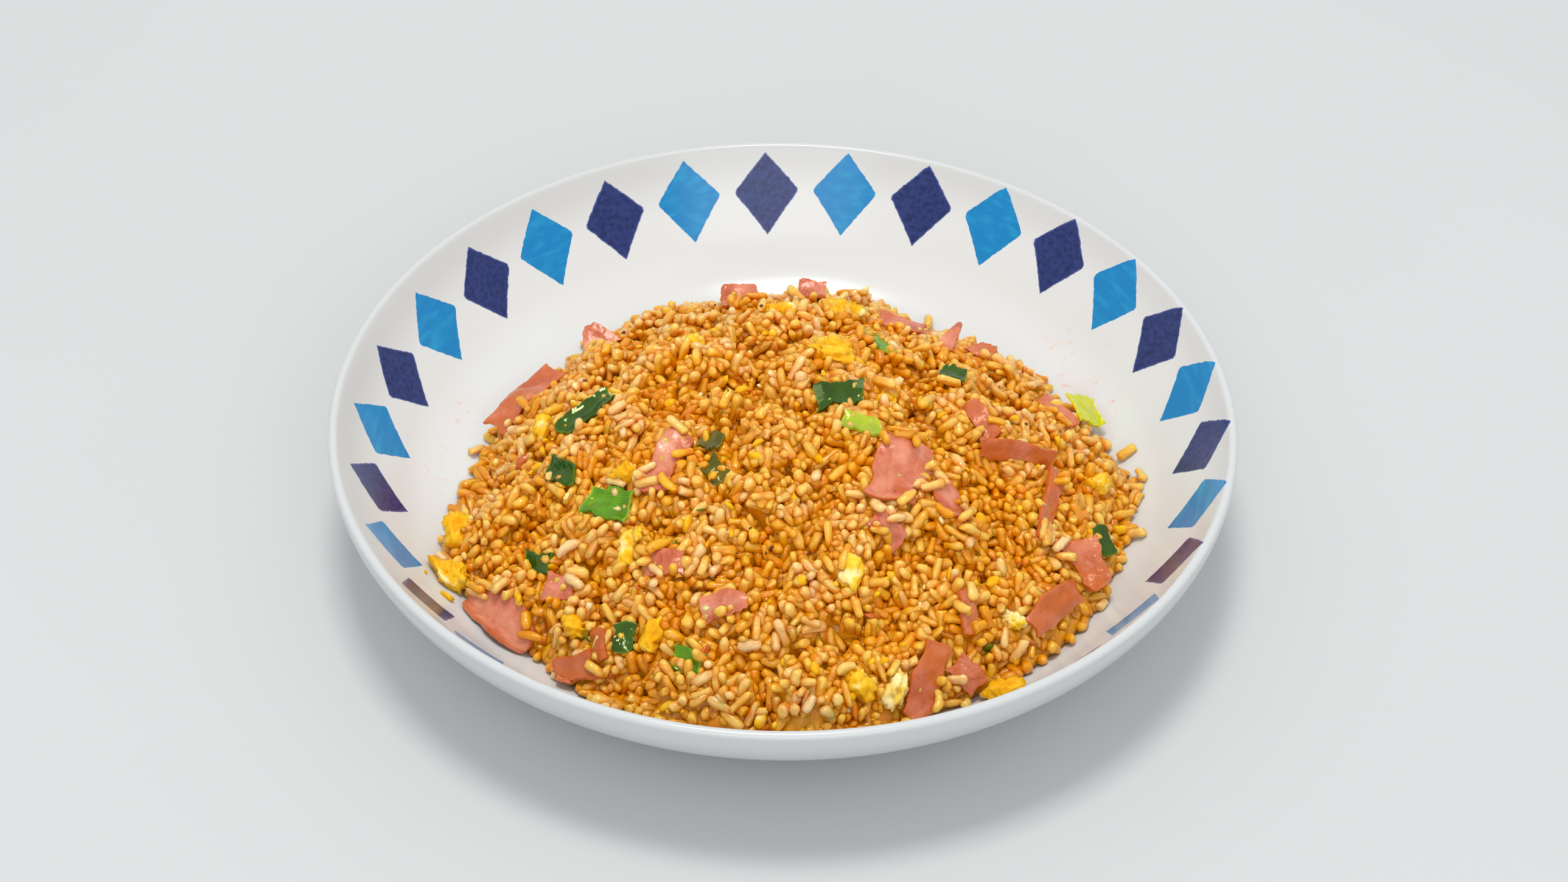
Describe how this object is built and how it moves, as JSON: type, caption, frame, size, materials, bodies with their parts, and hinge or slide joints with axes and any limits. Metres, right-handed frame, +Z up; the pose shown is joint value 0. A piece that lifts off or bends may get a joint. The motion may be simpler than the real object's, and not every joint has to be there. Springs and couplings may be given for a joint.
{
  "type": "fried rice plate",
  "caption": "Deep round plate with a ring of diamonds, heaped with fried rice mixed with ham strips, scrambled egg and cut scallion leaves.",
  "frame": {"origin": "middle of the foot ring, on the surface that the plate stands on", "axes": "+Z up through the middle of the plate, +Y away from the side that the food is seen from"},
  "size_m": [0.2536, 0.254, 0.056],
  "materials": {
    "glaze": "glossy white glaze with light blue and navy diamonds",
    "rice": "moist cooked rice grains, amber with paler tips",
    "ham": "moist salmon pink ham",
    "scallion_dark": "cooked dark green leaf",
    "scallion_green": "bright green leaf",
    "scallion_pale": "yellow green leaf",
    "egg": "scrambled egg yolk",
    "egg_white": "scrambled egg white with yolk"
  },
  "bodies": {
    "root": {"dish": "glaze", "rice_heap": "rice", "ham_01": "ham", "ham_02": "ham", "ham_03": "ham", "ham_04": "ham", "ham_05": "ham", "ham_06": "ham", "ham_07": "ham", "ham_08": "ham", "ham_09": "ham", "ham_10": "ham", "ham_11": "ham", "ham_12": "ham", "ham_13": "ham", "ham_14": "ham", "ham_15": "ham", "ham_16": "ham", "ham_17": "ham", "ham_18": "ham", "ham_19": "ham", "ham_20": "ham", "ham_21": "ham", "ham_22": "ham", "ham_23": "ham", "ham_24": "ham", "ham_25": "ham", "ham_26": "ham", "scallion_01": "scallion_dark", "scallion_02": "scallion_green", "scallion_03": "scallion_dark", "scallion_04": "scallion_pale", "scallion_05": "scallion_green", "scallion_06": "scallion_dark", "scallion_07": "scallion_pale", "scallion_08": "scallion_dark", "scallion_09": "scallion_dark", "scallion_10": "scallion_dark", "scallion_11": "scallion_green", "scallion_12": "scallion_dark", "scallion_13": "scallion_dark", "scallion_14": "scallion_dark", "egg_01": "egg", "egg_02": "egg", "egg_03": "egg", "egg_04": "egg", "egg_05": "egg", "egg_06": "egg", "egg_07": "egg", "egg_08": "egg", "egg_09": "egg", "egg_10": "egg_white", "egg_11": "egg_white", "egg_12": "egg", "egg_13": "egg", "egg_14": "egg_white", "egg_15": "egg", "egg_16": "egg", "egg_17": "egg"}
  },
  "joints": []
}
